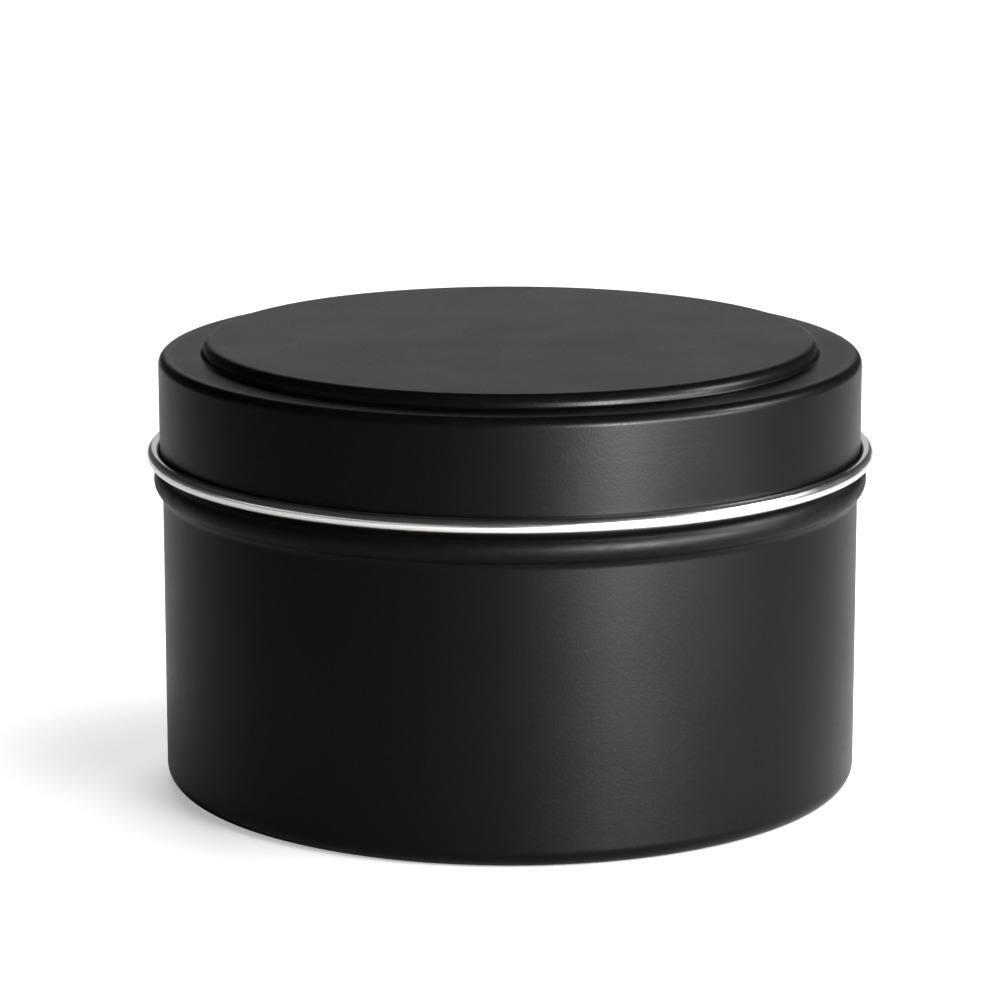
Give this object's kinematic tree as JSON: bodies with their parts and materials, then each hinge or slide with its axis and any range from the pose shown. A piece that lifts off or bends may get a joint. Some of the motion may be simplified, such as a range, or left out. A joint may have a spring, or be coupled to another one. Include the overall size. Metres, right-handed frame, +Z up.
{
  "type": "candle tin",
  "caption": "Round metal tin for poured candles: a straight drawn cup with a stop bead and a rolled rim, closed by a slip-on lid with a raised panel and a curled lower edge.",
  "frame": {"origin": "centre of the stand ring under the base, on the surface that the tin stands on", "axes": "+Z up along the axis of revolution, towards the lid; X and Y lie in the plane of the stand ring"},
  "size_m": [0.0836, 0.0836, 0.0514],
  "materials": {
    "black_enamel": "satin",
    "bare_tinplate": "satin"
  },
  "bodies": {
    "tin": {"tin_body": "black_enamel"},
    "lid": {"lid": "black_enamel"}
  },
  "joints": [
    {"name": "lid_lift", "type": "slide", "parent": "tin", "child": "lid", "axis": [0, 0, 1], "range_m": [0, 0.075]}
  ]
}
